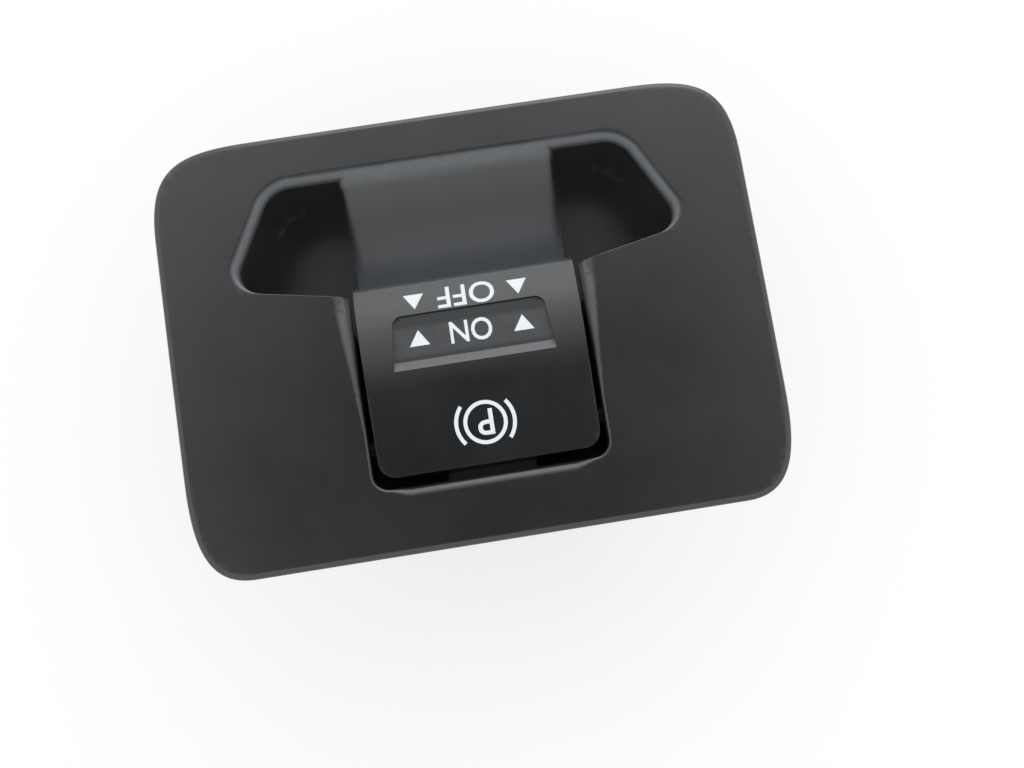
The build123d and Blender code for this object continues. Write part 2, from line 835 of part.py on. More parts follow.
# Switch housing: case below the deck, tower round the paddle's hinge, ears for the screws
lever_front_y = pivot_y - lever_length * sin(radians(pull_angle)) - lever_tip_radius - lever_slot_clearance
lever_back_y = pivot_y + lever_length * sin(radians(push_angle)) + lever_tip_radius + lever_slot_clearance
guide_length = guide_back_y - guide_front_y
guide_y = (guide_front_y + guide_back_y) / 2
housing_length = housing_top_y - housing_bottom_y
housing_y = (housing_top_y + housing_bottom_y) / 2
board_screw_x = board_half - board_boss_radius
header_z = header_bottom + header_height / 2
with BuildPart() as switch_housing:
    with BuildSketch(Plane.XY.offset(cover_thickness)):
        with Locations((0, housing_y)):
            RectangleRounded(housing_width, housing_length, housing_corner)
    extrude(amount=deck_top - cover_thickness)
    with BuildSketch(Plane.XY.offset(cover_thickness)):
        with Locations((0, housing_y)):
            RectangleRounded(
                housing_width - 2 * housing_wall,
                housing_length - 2 * housing_wall,
                housing_corner - housing_wall,
            )
    extrude(amount=deck_bottom - cover_thickness, mode=Mode.SUBTRACT)
    with BuildSketch(Plane.XY.offset(deck_top)):
        with Locations((0, tower_front_y)):
            Rectangle(tower_outer_width, housing_top_y - tower_front_y, align=(Align.CENTER, Align.MIN))
        with Locations((0, tower_front_y)):
            Rectangle(
                tower_inner_width,
                housing_top_y - housing_wall - tower_front_y,
                align=(Align.CENTER, Align.MIN),
                mode=Mode.SUBTRACT,
            )
    extrude(amount=seat_z - deck_top)
    # Ears under the bezel's bosses
    with BuildSketch(Plane.XY.offset(ear_top - ear_thickness)):
        with Locations((0, ear_y)):
            Rectangle(2 * ear_x, ear_width)
            with Locations((ear_x, 0), (-ear_x, 0)):
                Circle(ear_width / 2)
            Rectangle(tower_inner_width + housing_wall, ear_width, mode=Mode.SUBTRACT)
    extrude(amount=ear_thickness)
    with Locations((ear_x, ear_y, ear_top), (-ear_x, ear_y, ear_top)):
        Cylinder(screw_radius + screw_clearance, 2 * ear_thickness + over, mode=Mode.SUBTRACT)
    with Locations((lower_screw_x, lower_screw_y, deck_top), (-lower_screw_x, lower_screw_y, deck_top)):
        Cylinder(screw_radius + screw_clearance, 2 * deck_thickness + over, mode=Mode.SUBTRACT)
    # Ways through the deck for the lever and the light guide
    with Locations((lever_x, lever_front_y, deck_top)):
        Box(
            lever_width + 2 * lever_slot_clearance,
            lever_back_y - lever_front_y,
            2 * deck_thickness + over,
            align=(Align.CENTER, Align.MIN, Align.CENTER),
            mode=Mode.SUBTRACT,
        )
    with Locations((0, guide_y, deck_top)):
        Box(
            guide_width + 2 * guide_fit,
            guide_length + 2 * guide_fit,
            2 * deck_thickness + over,
            mode=Mode.SUBTRACT,
        )
    # Spring seats and stop posts on the deck
    with Locations(*[(x, y, deck_top) for x, y in spring_spots]):
        Cylinder(spring_radius - spring_wire / 2 - seat_clearance, seat_height, align=base)
    for x, y, top in stop_posts:
        with Locations((x, y, deck_top), (-x, y, deck_top)):
            Cylinder(buffer_radius, top - deck_top, align=base)
    # Bores for the pivot pin
    with Locations(pivot):
        Cylinder(pin_radius + pin_press, tower_outer_width + over, rotation=(0, 90, 0), mode=Mode.SUBTRACT)
    # Ribs that the slider runs between, and bosses that the board is screwed to
    rib_x = slider_width / 2 + slide_fit + rib_width / 2
    pull_run = lever_length * sin(radians(pull_angle))
    push_run = lever_length * sin(radians(push_angle))
    slider_run = slider_length + pull_run + push_run
    rib_y = pivot_y - (pull_run - push_run) / 2
    with Locations((lever_x + rib_x, rib_y, deck_bottom), (lever_x - rib_x, rib_y, deck_bottom)):
        Box(rib_width, slider_run, deck_bottom - slider_bottom, align=hang)
    with Locations(*[(x, board_screw_y, deck_bottom) for x in (-board_screw_x, board_screw_x)]):
        Cylinder(board_boss_radius, deck_bottom - board_top, align=hang)
        Cylinder(screw_radius + screw_bite, screw_length, align=hang, mode=Mode.SUBTRACT)
    # Bosses in the corners for the cover, and the opening for the plug socket
    cover_boss_height = board_bottom - cover_thickness - cover_boss_gap
    with Locations(*[(x, y, cover_thickness) for x, y in cover_spots]):
        Box(2 * cover_boss_inset, 2 * cover_boss_inset, cover_boss_height, align=base)
    with Locations(*[(x, y, cover_thickness) for x, y in cover_spots]):
        Cylinder(screw_radius + screw_bite, screw_length, align=base, mode=Mode.SUBTRACT)
    with Locations((0, housing_bottom_y, header_z)):
        Box(
            header_width + 2 * header_fit,
            2 * housing_wall + over,
            header_height + 2 * header_fit,
            mode=Mode.SUBTRACT,
        )
write(switch_housing.part, "switch_housing")


def helix_spring(x, y, low, high, turns):
    # A coil spring standing between two levels, its wire a little clear of both
    start = low + spring_wire / 2 + spring_gap
    rise = high - low - spring_wire - 2 * spring_gap
    with BuildPart() as spring:
        with BuildLine():
            coil = Helix(pitch=rise / turns, height=rise, radius=spring_radius, center=(x, y, start))
        with BuildSketch(Plane(coil @ 0, z_dir=coil % 0)):
            RegularPolygon(spring_wire / 2, 6)
        sweep(is_frenet=True)
    return spring.part


# Return springs
with BuildPart() as push_return_springs:
    for x in (-push_spring_x, push_spring_x):
        add(helix_spring(x, push_spring_y, deck_top, carrier_rail_z, push_spring_turns))
write(push_return_springs.part, "push_return_springs")
write(helix_spring(0, pull_spring_y, deck_top, tail_bottom, pull_spring_turns), "pull_return_spring")

# Rubber end stops on their posts
for name, (x, y, top) in (("push_buffers", stop_posts[0]), ("pull_buffers", stop_posts[1])):
    with BuildPart() as buffers:
        with Locations((x, y, top), (-x, y, top)):
            Cylinder(buffer_radius, buffer_height, align=base)
        chamfer(buffers.edges().group_by(Axis.Z)[-1], buffer_chamfer)
    write(buffers.part, name)

# Circuit board behind the plug socket
with BuildPart() as circuit_board:
    with BuildSketch(Plane.XY.offset(board_bottom)):
        with Locations((0, board_front_y)):
            Rectangle(2 * board_half, board_back_y - board_front_y, align=(Align.CENTER, Align.MIN))
        fillet(vertices(), board_corner)
        with Locations((board_screw_x, board_screw_y), (-board_screw_x, board_screw_y)):
            Circle(screw_radius + screw_clearance, mode=Mode.SUBTRACT)
        with Locations(*[(x, y) for x in pin_xs for y in (upper_row_y, lower_row_y)]):
            Circle(pin_hole_radius, mode=Mode.SUBTRACT)
    extrude(amount=board_thickness)
write(circuit_board.part, "circuit_board")

# Plated tracks that the wipers run along
track_xs = [lever_x + (i - (track_count - 1) / 2) * track_pitch for i in range(track_count)]
with BuildPart() as contact_tracks:
    with Locations(*[(x, rib_y, board_top) for x in track_xs]):
        Box(track_width, slider_run - 2 * track_margin, track_thickness, align=base)
write(contact_tracks.part, "contact_tracks")

# Slider with a cross slot for the lever's round tip
with BuildPart() as contact_slider:
    with Locations((lever_x, pivot_y, slider_bottom)):
        Box(slider_width, slider_length, slider_height, align=base)
        Box(lever_width + 2 * lever_side_gap, 2 * slot_round, slider_height, align=base, mode=Mode.SUBTRACT)
    upper = contact_slider.edges().filter_by(Axis.X).group_by(Axis.Z)[-1]
    chamfer(upper.group_by(Axis.Y)[0], slider_chamfer)
write(contact_slider.part, "contact_slider")

# Sprung leaves under the slider, one to a track
track_top = board_top + track_thickness
wiper_y = pivot_y + slider_length / 2 - wiper_inset
wiper_z = slider_bottom - wiper_thickness / 2
toe_z = track_top + wiper_gap + wiper_thickness
with BuildPart() as wiper_contacts:
    for x in track_xs:
        with BuildSketch(Plane.YZ.offset(x - wiper_width / 2)):
            with BuildLine():
                Polyline(
                    (wiper_y, wiper_z),
                    (wiper_y - wiper_root, wiper_z),
                    (wiper_y - wiper_length, toe_z),
                    (wiper_y - wiper_length - wiper_toe, toe_z + wiper_thickness),
                )
                offset(amount=wiper_thickness / 2)
            make_face()
        extrude(amount=wiper_width)
write(wiper_contacts.part, "wiper_contacts")

# Lamps in a row under the light guide
with BuildPart() as leds:
    with Locations(*[((i - (led_count - 1) / 2) * led_pitch, guide_y, board_top) for i in range(led_count)]):
        Box(led_length, led_width, led_height, align=base)
    chamfer(leds.edges().group_by(Axis.Z)[-1], led_chamfer)
write(leds.part, "leds")

# Clear block that carries their light up to the milky plate
guide_bottom = board_top + led_height + guide_led_gap
guide_top = paddle_z - paddle_skin - diffuser_thickness - guide_top_gap
with BuildPart() as light_guide:
    with Locations((0, guide_y, guide_bottom)):
        Box(guide_width, guide_length, guide_top - guide_bottom, align=base)
    with Locations((0, guide_y, deck_top)):
        Box(guide_width + 2 * guide_flange, guide_length, guide_flange_thickness, align=base)
        Box(guide_width, guide_length + 2 * guide_flange, guide_flange_thickness, align=base)
    chamfer(light_guide.edges().group_by(Axis.Z)[-1], guide_chamfer)
write(light_guide.part, "light_guide")

# What else stands on the board
chip_x = chip_inset - board_half
chip_pin_y = (chip_size + chip_pin_reach) / 2
row_ys = [board_back_y - row_back_inset - i * row_pitch for i in range(row_count)]
with BuildPart() as board_components:
    with Locations((chip_x, chip_y, board_top)):
        Box(chip_size, chip_size, chip_height, align=base)
    for i in range(chip_pins):
        x = chip_x + (i - (chip_pins - 1) / 2) * chip_pin_pitch
        with Locations((x, chip_y - chip_pin_y, board_top), (x, chip_y + chip_pin_y, board_top)):
            Box(chip_pin_width, chip_pin_reach, chip_pin_height, align=base)
    with Locations(*[(resistor_inset - board_half, y, board_top) for y in row_ys]):
        Box(resistor_length, resistor_width, resistor_height, align=base)
    with Locations(*[(diode_inset - board_half, y, board_top) for y in row_ys]):
        Box(diode_length, diode_width, diode_height, align=base)
    with Locations((board_half - capacitor_inset, capacitor_y, board_top)):
        Cylinder(capacitor_radius, capacitor_height, align=base)
write(board_components.part, "board_components")

# Plug socket on the board's front edge
with BuildPart() as connector_header:
    with Locations((0, header_front_y, header_z)):
        Box(
            header_width,
            header_back_y - header_front_y,
            header_height,
            align=(Align.CENTER, Align.MIN, Align.CENTER),
        )
        fillet(connector_header.edges().filter_by(Axis.Y), header_corner)
        Box(
            header_width - 2 * header_wall,
            socket_depth,
            header_height - 2 * header_wall,
            align=(Align.CENTER, Align.MIN, Align.CENTER),
            mode=Mode.SUBTRACT,
        )
    with Locations((0, header_front_y, header_z + header_height / 2 - header_wall)):
        Box(
            key_width,
            socket_depth - key_stop,
            2 * key_height,
            align=(Align.CENTER, Align.MIN, Align.CENTER),
            mode=Mode.SUBTRACT,
        )
    with Locations(*[(x, header_back_y, header_z + row * row_gap / 2) for x in pin_xs for row in (-1, 1)]):
        hole = pin_size + 2 * pin_fit_in_header
        Box(hole, 2 * (header_back_y - header_front_y - socket_depth) + over, hole, mode=Mode.SUBTRACT)
write(connector_header.part, "connector_header")

# Terminals: out of the socket's back, then down or up into the board
tip_y = header_front_y + socket_depth - pin_reach
with BuildPart() as connector_terminals:
    for row, drop_y, end_z in (
        (1, upper_row_y, board_bottom - solder_height),
        (-1, lower_row_y, board_top + solder_height),
    ):
        z = header_z + row * row_gap / 2
        reach = drop_y - tip_y + pin_size / 2
        for x in pin_xs:
            with Locations((x, tip_y + reach / 2, z)):
                Box(pin_size, reach, pin_size)
            with Locations((x, drop_y, (z + end_z) / 2)):
                Box(pin_size, pin_size, abs(z - end_z))
write(connector_terminals.part, "connector_terminals")

# Rear cover with its lips, sunk screw holes and board rests
cover_seat_z = screw_head_height + head_sink
with BuildPart() as rear_cover:
    with BuildSketch():
        with Locations((0, housing_y)):
            RectangleRounded(housing_width, housing_length, housing_corner)
    extrude(amount=cover_thickness)
    chamfer(rear_cover.edges().group_by(Axis.Z)[0], cover_chamfer)
    for x in (-1, 1):
        with Locations((x * (inner_half - cover_fit), housing_y, cover_thickness)):
            Box(
                cover_lip_wall,
                housing_length - 2 * housing_wall - 4 * cover_boss_inset,
                cover_lip_height,
                align=(Align.MAX if x > 0 else Align.MIN, Align.CENTER, Align.MIN),
            )
    for side in (-1, 1):
        for y in (cover_post_front_y, cover_post_back_y):
            with Locations((side * (board_half - cover_post_inset), y, cover_thickness)):
                Cylinder(cover_post_radius, board_bottom - cover_thickness, align=base)
    with Locations(*cover_spots):
        Cylinder(screw_radius + screw_clearance, 3 * cover_thickness, mode=Mode.SUBTRACT)
        Cylinder(screw_head_radius + screw_clearance, cover_seat_z, align=base, mode=Mode.SUBTRACT)
write(rear_cover.part, "rear_cover")


def screw_set(spots, shank):
    # Pan-head screws with a straight slot, driven from behind: each spot is the seat of a head
    with BuildPart() as screws:
        for x, y, z in spots:
            with Locations((x, y, z)):
                Cylinder(screw_radius, shank, align=base)
                Cylinder(screw_head_radius, screw_head_height, align=hang)
            with Locations((x, y, z - screw_head_height)):
                Box(2 * screw_head_radius, screw_slot, 2 * screw_slot, mode=Mode.SUBTRACT)
    return screws.part


ear_seat = ear_top - ear_thickness
bezel_spots = [(x, ear_y, ear_seat) for x in (-ear_x, ear_x)]
bezel_spots += [(x, lower_screw_y, deck_bottom) for x in (-lower_screw_x, lower_screw_x)]
board_spots = [(x, board_screw_y, board_bottom) for x in (-board_screw_x, board_screw_x)]
write(screw_set(bezel_spots, bezel_shank), "bezel_screws")
write(screw_set(board_spots, board_shank), "board_screws")
write(screw_set([(x, y, cover_seat_z) for x, y in cover_spots], cover_shank), "cover_screws")

# Spring-steel clips on the well's sides
for name, side in (("clip_left", -1), ("clip_right", 1)):
    with BuildPart() as clip:
        x = clip_seat_x + clip_steel / 2
        low = clip_pad_z - clip_steel / 2
        panel_z = seat_z - panel_thickness
        with BuildSketch(across(clip_y)):
            with BuildLine():
                Polyline(
                    (side * (x - clip_foot), low),
                    (side * x, low),
                    (side * x, low + clip_heel),
                    (side * (x + clip_bulge), panel_z - clip_lead_in),
                    (side * (x + clip_bulge - clip_tip_back), panel_z + clip_tip_rise),
                )
                offset(amount=clip_steel / 2)
            make_face()
        extrude(amount=clip_width / 2, both=True)
    write(clip.part, name)

# Foam strip behind the plate's rim
with BuildPart() as bezel_seal:
    for inset, mode in ((seal_inset, Mode.ADD), (seal_inset + seal_width, Mode.SUBTRACT)):
        with BuildSketch(Plane.XY.offset(seat_z - seal_thickness)):
            add(plate_sketch(inset))
        extrude(amount=seal_thickness, mode=mode)
write(bezel_seal.part, "bezel_seal")
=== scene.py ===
import json
from math import cos, degrees, pi, radians, sin

import bmesh
import bpy
from mathutils import Matrix, Vector
from mathutils.bvhtree import BVHTree


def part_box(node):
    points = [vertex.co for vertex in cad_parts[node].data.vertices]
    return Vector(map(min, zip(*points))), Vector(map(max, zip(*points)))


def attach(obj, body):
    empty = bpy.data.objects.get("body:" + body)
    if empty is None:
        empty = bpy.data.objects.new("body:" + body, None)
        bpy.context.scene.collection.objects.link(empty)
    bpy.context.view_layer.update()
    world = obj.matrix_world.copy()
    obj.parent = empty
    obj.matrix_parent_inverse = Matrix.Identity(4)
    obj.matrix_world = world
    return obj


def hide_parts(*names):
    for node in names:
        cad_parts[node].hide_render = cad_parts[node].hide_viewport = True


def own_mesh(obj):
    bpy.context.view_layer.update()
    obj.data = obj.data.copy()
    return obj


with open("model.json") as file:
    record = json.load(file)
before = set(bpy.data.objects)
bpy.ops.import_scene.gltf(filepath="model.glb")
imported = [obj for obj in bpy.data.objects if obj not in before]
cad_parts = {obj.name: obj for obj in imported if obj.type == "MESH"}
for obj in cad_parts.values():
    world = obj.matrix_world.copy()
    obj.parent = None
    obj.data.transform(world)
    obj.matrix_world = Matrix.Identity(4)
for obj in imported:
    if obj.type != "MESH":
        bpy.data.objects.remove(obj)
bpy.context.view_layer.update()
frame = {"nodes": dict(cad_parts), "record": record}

# Parking brake switch: the looks of every piece, on the frame of its solids.
# X across the plate, Y towards the paddle's hinged end, Z out of the face.
mm = 0.001
print("frame loaded:", len(frame["nodes"]), "nodes")


def clamped(value):
    return min(1.0, max(0.0, value))


def addObject(name, data):
    made = bpy.data.objects.new(name, data)
    bpy.context.scene.collection.objects.link(made)
    return made


# shader nodes

def feed(tree, socket, value):
    # with a number, a colour or another node's output
    if isinstance(value, (int, float)):
        socket.default_value = value
    elif isinstance(value, tuple):
        socket.default_value = (*value, 1.0)
    else:
        tree.links.new(value, socket)


def addMath(tree, operation, first, second, clamp=False):
    node = tree.nodes.new("ShaderNodeMath")
    node.operation = operation
    node.use_clamp = clamp
    feed(tree, node.inputs[0], first)
    feed(tree, node.inputs[1], second)
    return node.outputs[0]


def addNoise(tree, vector, scale, detail, roughness=0.55):
    node = tree.nodes.new("ShaderNodeTexNoise")
    tree.links.new(vector, node.inputs["Vector"])
    feed(tree, node.inputs["Scale"], scale)
    node.inputs["Detail"].default_value = detail
    node.inputs["Roughness"].default_value = roughness
    return node.outputs["Fac"]


def addSwing(tree, noise, amount):
    # noise as a swing about zero
    return addMath(tree, "MULTIPLY", addMath(tree, "SUBTRACT", noise, 0.5), amount)


def mixColours(tree, factor, first, second):
    # the colour sockets of a Mix node are its inputs 6 and 7 and its output 2
    node = tree.nodes.new("ShaderNodeMix")
    node.data_type = "RGBA"
    for index, value in ((0, factor), (6, first), (7, second)):
        feed(tree, node.inputs[index], value)
    return node.outputs[2]


def objectPlace(tree):
    return tree.nodes.new("ShaderNodeTexCoord").outputs["Object"]


def newGroup(name, inputs, outputs):
    group = bpy.data.node_groups.new(name, "ShaderNodeTree")
    for label, kind, value in inputs:
        socket = group.interface.new_socket(label, in_out="INPUT", socket_type=kind)
        socket.default_value = value
    for label, kind in outputs:
        group.interface.new_socket(label, in_out="OUTPUT", socket_type=kind)
    return group, group.nodes.new("NodeGroupInput"), group.nodes.new("NodeGroupOutput")


def placeGroup(tree, group, values):
    node = tree.nodes.new("ShaderNodeGroup")
    node.node_tree = group
    for label, value in values.items():
        feed(tree, node.inputs[label], value)
    return node


# shared shader groups

skinLook = {
    "grainDetail": 2.0,
    "blotchScale": 90.0,
    "blotchDetail": 4.0,
    "speckScale": 2600.0,
    "speckDetail": 1.0,
    "speckOver": 0.74,      # noise above this is a speck of dust
    "cloud": 0.012,         # how far the blotches go towards the dust's colour
    "dustColour": (0.55, 0.55, 0.55),
}


def buildMouldedSkin():
    # the fine spark-eroded texture of a moulded part, and the faint blotches in its gloss
    group, source, sink = newGroup(
        "mouldedSkin",
        [
            ("Colour", "NodeSocketColor", (0.03, 0.03, 0.03, 1.0)),
            ("Grain Scale", "NodeSocketFloat", 9000.0),
            ("Roughness", "NodeSocketFloat", 0.45),
            ("Variation", "NodeSocketFloat", 0.08),
            ("Dust", "NodeSocketFloat", 0.02),
        ],
        [("Colour", "NodeSocketColor"), ("Roughness", "NodeSocketFloat"), ("Height", "NodeSocketFloat")],
    )
    place = objectPlace(group)
    variation = source.outputs["Variation"]
    grain = addNoise(group, place, source.outputs["Grain Scale"], skinLook["grainDetail"])
    blotches = addNoise(group, place, skinLook["blotchScale"], skinLook["blotchDetail"])
    rough = addMath(group, "ADD", source.outputs["Roughness"], addSwing(group, blotches, variation))
    rough = addMath(group, "ADD", rough, addSwing(group, grain, variation), clamp=True)
    specks = addNoise(group, place, skinLook["speckScale"], skinLook["speckDetail"])
    specks = addMath(group, "GREATER_THAN", specks, skinLook["speckOver"])
    dusty = addMath(group, "MULTIPLY", specks, source.outputs["Dust"])
    pale = addMath(group, "ADD", dusty, addMath(group, "MULTIPLY", blotches, skinLook["cloud"]))
    colour = mixColours(group, pale, source.outputs["Colour"], skinLook["dustColour"])
    group.links.new(colour, sink.inputs["Colour"])
    group.links.new(rough, sink.inputs["Roughness"])
    group.links.new(grain, sink.inputs["Height"])
    return group


metalLook = {
    "stretch": (1.0, 1.0, 0.06),    # draws the noise out into lines along Z
    "lineScale": 7000.0,
    "lineDetail": 3.0,
    "lineRough": 0.18,              # how much rougher the metal is on a line
    "stainScale": 260.0,
    "stainDetail": 5.0,
    "stainRough": 0.7,
    "stainShare": 0.45,
    "bumpDepth": 0.003 * mm,
}


def buildDrawnMetal():
    # fine drawn lines, with a thin uneven tarnish
    group, source, sink = newGroup(
        "drawnMetal",
        [
            ("Colour", "NodeSocketColor", (0.6, 0.6, 0.62, 1.0)),
            ("Tarnish", "NodeSocketColor", (0.3, 0.27, 0.24, 1.0)),
            ("Roughness", "NodeSocketFloat", 0.3),
        ],
        [("Colour", "NodeSocketColor"), ("Roughness", "NodeSocketFloat"), ("Height", "NodeSocketFloat")],
    )
    place = objectPlace(group)
    stretch = group.nodes.new("ShaderNodeMapping")
    stretch.inputs["Scale"].default_value = metalLook["stretch"]
    group.links.new(place, stretch.inputs["Vector"])
    lines = addNoise(group, stretch.outputs["Vector"], metalLook["lineScale"], metalLook["lineDetail"])
    stain = addNoise(
        group, place, metalLook["stainScale"], metalLook["stainDetail"], metalLook["stainRough"]
    )
    stain = addMath(group, "MULTIPLY", stain, metalLook["stainShare"])
    colour = mixColours(group, stain, source.outputs["Colour"], source.outputs["Tarnish"])
    lined = addMath(group, "MULTIPLY", lines, metalLook["lineRough"])
    rough = addMath(group, "ADD", source.outputs["Roughness"], lined)
    group.links.new(colour, sink.inputs["Colour"])
    group.links.new(rough, sink.inputs["Roughness"])
    group.links.new(lines, sink.inputs["Height"])
    return group


mouldedSkin = buildMouldedSkin()
drawnMetal = buildDrawnMetal()
print("shader groups built")


# materials

def startMaterial(name, group, values, bumpDepth):
    # a Principled shader fed by one shared group: its colour, its roughness and a bump from its height
    material = bpy.data.materials.new(name)
    material.use_nodes = True
    tree = material.node_tree
    shader = tree.nodes["Principled BSDF"]
    skin = placeGroup(tree, group, values)
    tree.links.new(skin.outputs["Colour"], shader.inputs["Base Color"])
    tree.links.new(skin.outputs["Roughness"], shader.inputs["Roughness"])
    bump = tree.nodes.new("ShaderNodeBump")
    bump.inputs["Strength"].default_value = 1.0
    bump.inputs["Distance"].default_value = bumpDepth
    tree.links.new(skin.outputs["Height"], bump.inputs["Height"])
    tree.links.new(bump.outputs["Normal"], shader.inputs["Normal"])
    return material, shader


def plastic(
    name, colour, roughness, grainScale=9000.0, bumpDepth=0.006 * mm, specular=0.5, dust=0.0, variation=0.08
):
    values = {
        "Colour": colour,
        "Grain Scale": grainScale,
        "Roughness": roughness,
        "Variation": variation,
        "Dust": dust,
    }
    material, shader = startMaterial(name, mouldedSkin, values, bumpDepth)
    shader.inputs["Specular IOR Level"].default_value = specular
    return material


def metal(name, colour, tarnish, roughness):
    values = {"Colour": colour, "Tarnish": tarnish, "Roughness": roughness}
    material, shader = startMaterial(name, drawnMetal, values, metalLook["bumpDepth"])
    shader.inputs["Metallic"].default_value = 1.0
    return material


clearLook = {
    "rippleScale": 1400.0,      # the faint flow ripple of a clear moulding
    "ripple": 0.05,
    "bumpDepth": 0.004 * mm,
    "refraction": 1.49,
}


def clear(name, colour, roughness):
    values = {
        "Colour": colour,
        "Grain Scale": clearLook["rippleScale"],
        "Roughness": roughness,
        "Variation": clearLook["ripple"],
        "Dust": 0.0,
    }
    material, shader = startMaterial(name, mouldedSkin, values, clearLook["bumpDepth"])
    shader.inputs["Transmission Weight"].default_value = 1.0
    shader.inputs["IOR"].default_value = clearLook["refraction"]
    return material


finishes = {
    "bezel_plastic": plastic("bezelPlastic", (0.0058, 0.0058, 0.0060), 0.29, specular=0.68, dust=0.010),
    "paddle_plastic": plastic("paddlePlastic", (0.0034, 0.0036, 0.0042), 0.27, specular=0.57, dust=0.006),
    "carrier_plastic": plastic("carrierPlastic", (0.10, 0.10, 0.105), 0.5),
    "milky_plastic": plastic("milkyPlastic", (0.82, 0.83, 0.80), 0.3, bumpDepth=0.002 * mm),
    "steel": metal("platedSteel", (0.62, 0.62, 0.64), (0.40, 0.38, 0.36), 0.26),
    "spring_steel": metal("springSteel", (0.48, 0.48, 0.50), (0.24, 0.21, 0.19), 0.3),
    "rubber": plastic(
        "bufferRubber", (0.022, 0.022, 0.023), 0.72, grainScale=5200.0, bumpDepth=0.01 * mm, specular=0.3
    ),
    "slider_plastic": plastic("sliderPlastic", (0.72, 0.69, 0.62), 0.38, bumpDepth=0.002 * mm),
    "contact_brass": metal("contactBrass", (0.80, 0.62, 0.30), (0.42, 0.28, 0.14), 0.24),
    "board_laminate": plastic(
        "boardLaminate", (0.020, 0.13, 0.055), 0.3, grainScale=3600.0, bumpDepth=0.004 * mm
    ),
    "component_plastic": plastic("componentPlastic", (0.028, 0.028, 0.030), 0.48),
    "led_resin": plastic("ledResin", (0.82, 0.78, 0.52), 0.2, bumpDepth=0.001 * mm),
    "clear_plastic": clear("clearPlastic", (0.93, 0.96, 0.97), 0.06),
    "header_plastic": plastic("headerPlastic", (0.030, 0.030, 0.032), 0.46),
    "housing_plastic": plastic(
        "housingPlastic", (0.026, 0.026, 0.028), 0.5, grainScale=5200.0, bumpDepth=0.012 * mm,
        specular=0.6, dust=0.02, variation=0.12,
    ),
    "seal_foam": plastic(
        "sealFoam", (0.045, 0.045, 0.048), 0.92, grainScale=2600.0, bumpDepth=0.06 * mm, specular=0.2
    ),
}
print("materials built:", len(finishes))


# the ramp's low end: painted light, a paler grey that grows the deeper the ramp lies under the lip, and a
# duller roughness there

paintedRampLight = {
    "colour": (0.215, 0.225, 0.245),
    "fade": 4.0,            # the higher, the nearer the low end the grey stays
    "matt": 0.16,           # how much duller the ramp is than the plate
    "mattOver": 2.5 * mm,   # how far down the ramp that takes
    "halfWidth": 15.7 * mm,
    "front": -22.8 * mm,
    "back": -4.5 * mm,
    "top": 32.0 * mm,
    "low": 23.0 * mm,
}


def paintRampLightAndMatt(material):
    tree = material.node_tree
    shader = tree.nodes["Principled BSDF"]
    colour = shader.inputs["Base Color"].links[0].from_socket
    rough = shader.inputs["Roughness"].links[0].from_socket
    split = tree.nodes.new("ShaderNodeSeparateXYZ")
    tree.links.new(objectPlace(tree), split.inputs[0])
    offMiddle = addMath(tree, "ABSOLUTE", split.outputs["X"], 0.0)
    inWidth = addMath(tree, "LESS_THAN", offMiddle, paintedRampLight["halfWidth"])
    inFront = addMath(tree, "GREATER_THAN", split.outputs["Y"], paintedRampLight["front"])
    inBack = addMath(tree, "LESS_THAN", split.outputs["Y"], paintedRampLight["back"])
    region = addMath(tree, "MULTIPLY", addMath(tree, "MULTIPLY", inWidth, inFront), inBack)
    fall = addMath(tree, "SUBTRACT", paintedRampLight["top"], split.outputs["Z"])
    depth = addMath(tree, "DIVIDE", fall, paintedRampLight["top"] - paintedRampLight["low"], clamp=True)
    mask = addMath(tree, "MULTIPLY", region, addMath(tree, "POWER", depth, paintedRampLight["fade"]))
    # painted light: a paler grey laid over the ramp's colour, more the deeper it lies
    tree.links.new(mixColours(tree, mask, colour, paintedRampLight["colour"]), shader.inputs["Base Color"])
    begun = addMath(tree, "DIVIDE", fall, paintedRampLight["mattOver"], clamp=True)
    dull = addMath(tree, "MULTIPLY", addMath(tree, "MULTIPLY", begun, region), paintedRampLight["matt"])
    tree.links.new(addMath(tree, "ADD", rough, dull), shader.inputs["Roughness"])


# painted highlights: a paler colour on rounded edges, picked by their slope, in patches

paintedHighlights = {
    "colour": (0.056, 0.057, 0.060),
    "paddleColour": (0.056, 0.058, 0.062),
    "tilt": (2.0, 28.0),        # slope in degrees from which an edge shines, and where it shines fully
    "steepest": 80.0,
    "depth": 2.2 * mm,          # how far below the face that reaches
    "inside": 3.0 * mm,         # how far in from the plate's rim it starts
    "fadeFrom": -6.0 * mm,      # along the slot it fades away from the well
    "fadeOver": 13.0 * mm,
    "patchScale": 420.0,
    "patchDetail": 3.0,
    "patchLift": 0.5,           # added to the patches, so that no edge stays wholly dull
}


def buildHighlightPaint():
    # painted highlight: a paler colour where the mesh's marks say, in patches
    group, source, sink = newGroup(
        "highlightPaint",
        [
            ("Colour", "NodeSocketColor", (0.03, 0.03, 0.03, 1.0)),
            ("Highlight Colour", "NodeSocketColor", (0.06, 0.06, 0.06, 1.0)),
            ("Highlight Amount", "NodeSocketFloat", 0.0),
            ("Patch Scale", "NodeSocketFloat", 400.0),
        ],
        [("Colour", "NodeSocketColor")],
    )
    noise = addNoise(group, objectPlace(group), source.outputs["Patch Scale"], paintedHighlights["patchDetail"])
    patches = addMath(group, "ADD", noise, paintedHighlights["patchLift"])
    share = addMath(group, "MULTIPLY", source.outputs["Highlight Amount"], patches, clamp=True)
    colour = mixColours(group, share, source.outputs["Colour"], source.outputs["Highlight Colour"])
    group.links.new(colour, sink.inputs["Colour"])
    return group


highlightPaint = buildHighlightPaint()


